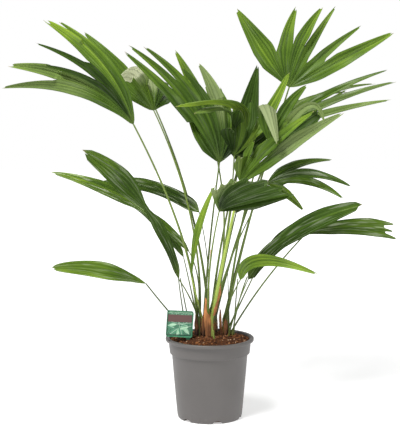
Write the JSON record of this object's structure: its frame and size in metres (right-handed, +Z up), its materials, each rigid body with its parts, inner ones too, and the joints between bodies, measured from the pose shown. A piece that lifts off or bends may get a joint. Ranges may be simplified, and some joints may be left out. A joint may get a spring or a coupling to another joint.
{
  "type": "potted chinese fan palm",
  "caption": "Young fan palm with long bare stalks, pleated palmate blades and soft strap leaves, in a grey plastic nursery pot with soil and a plant label.",
  "frame": {"origin": "centre of the pot's flat underside", "axes": "+Z up, the front looks towards -Y, +X to the right"},
  "size_m": [0.8197, 0.6106, 0.8815],
  "materials": {
    "pot": "satin warm grey polypropylene",
    "soil": "moist bark and peat potting mix",
    "plant_label": "printed plastic card with a maroon band over a green leaf pattern",
    "sheath": "matted orange-brown leaf sheath fibre",
    "stalk": "smooth olive green, slightly glossy",
    "blade": "waxy pleated mid green leaf, paler underneath"
  },
  "bodies": {
    "root": {"pot": "pot", "soil": "soil", "plant_label": "plant_label", "stem_left": "sheath", "stem_front": "sheath", "stem_right": "sheath", "stem_back": "sheath", "frond_01_stalk": "stalk", "frond_01_blade": "blade", "frond_02_stalk": "stalk", "frond_02_blade": "blade", "frond_03_stalk": "stalk", "frond_03_blade": "blade", "frond_04_stalk": "stalk", "frond_04_blade": "blade", "frond_05_stalk": "stalk", "frond_05_blade": "blade", "frond_06_stalk": "stalk", "frond_06_blade": "blade", "frond_07_stalk": "stalk", "frond_07_blade": "blade", "frond_08_stalk": "stalk", "frond_08_blade": "blade", "frond_09_stalk": "stalk", "frond_09_blade": "blade", "frond_10_stalk": "stalk", "frond_10_blade": "blade", "frond_11_stalk": "stalk", "frond_11_blade": "blade", "frond_12_stalk": "stalk", "frond_12_blade": "blade", "frond_13_stalk": "stalk", "frond_13_blade": "blade", "frond_14_stalk": "stalk", "frond_14_blade": "blade", "frond_15_stalk": "stalk", "frond_15_blade": "blade", "frond_16_stalk": "stalk", "frond_16_blade": "blade", "frond_17_stalk": "stalk", "frond_17_blade": "blade", "frond_18_stalk": "stalk", "frond_18_blade": "blade", "frond_19_stalk": "stalk", "frond_19_blade": "blade", "frond_20_stalk": "stalk", "frond_20_blade": "blade", "frond_21_stalk": "stalk", "frond_21_blade": "blade", "frond_22_stalk": "stalk", "frond_22_blade": "blade", "frond_23_stalk": "stalk", "frond_23_blade": "blade", "frond_24_stalk": "stalk", "frond_24_blade": "blade", "frond_25_stalk": "stalk", "frond_25_blade": "blade", "frond_26_stalk": "stalk", "frond_26_blade": "blade"}
  },
  "joints": []
}
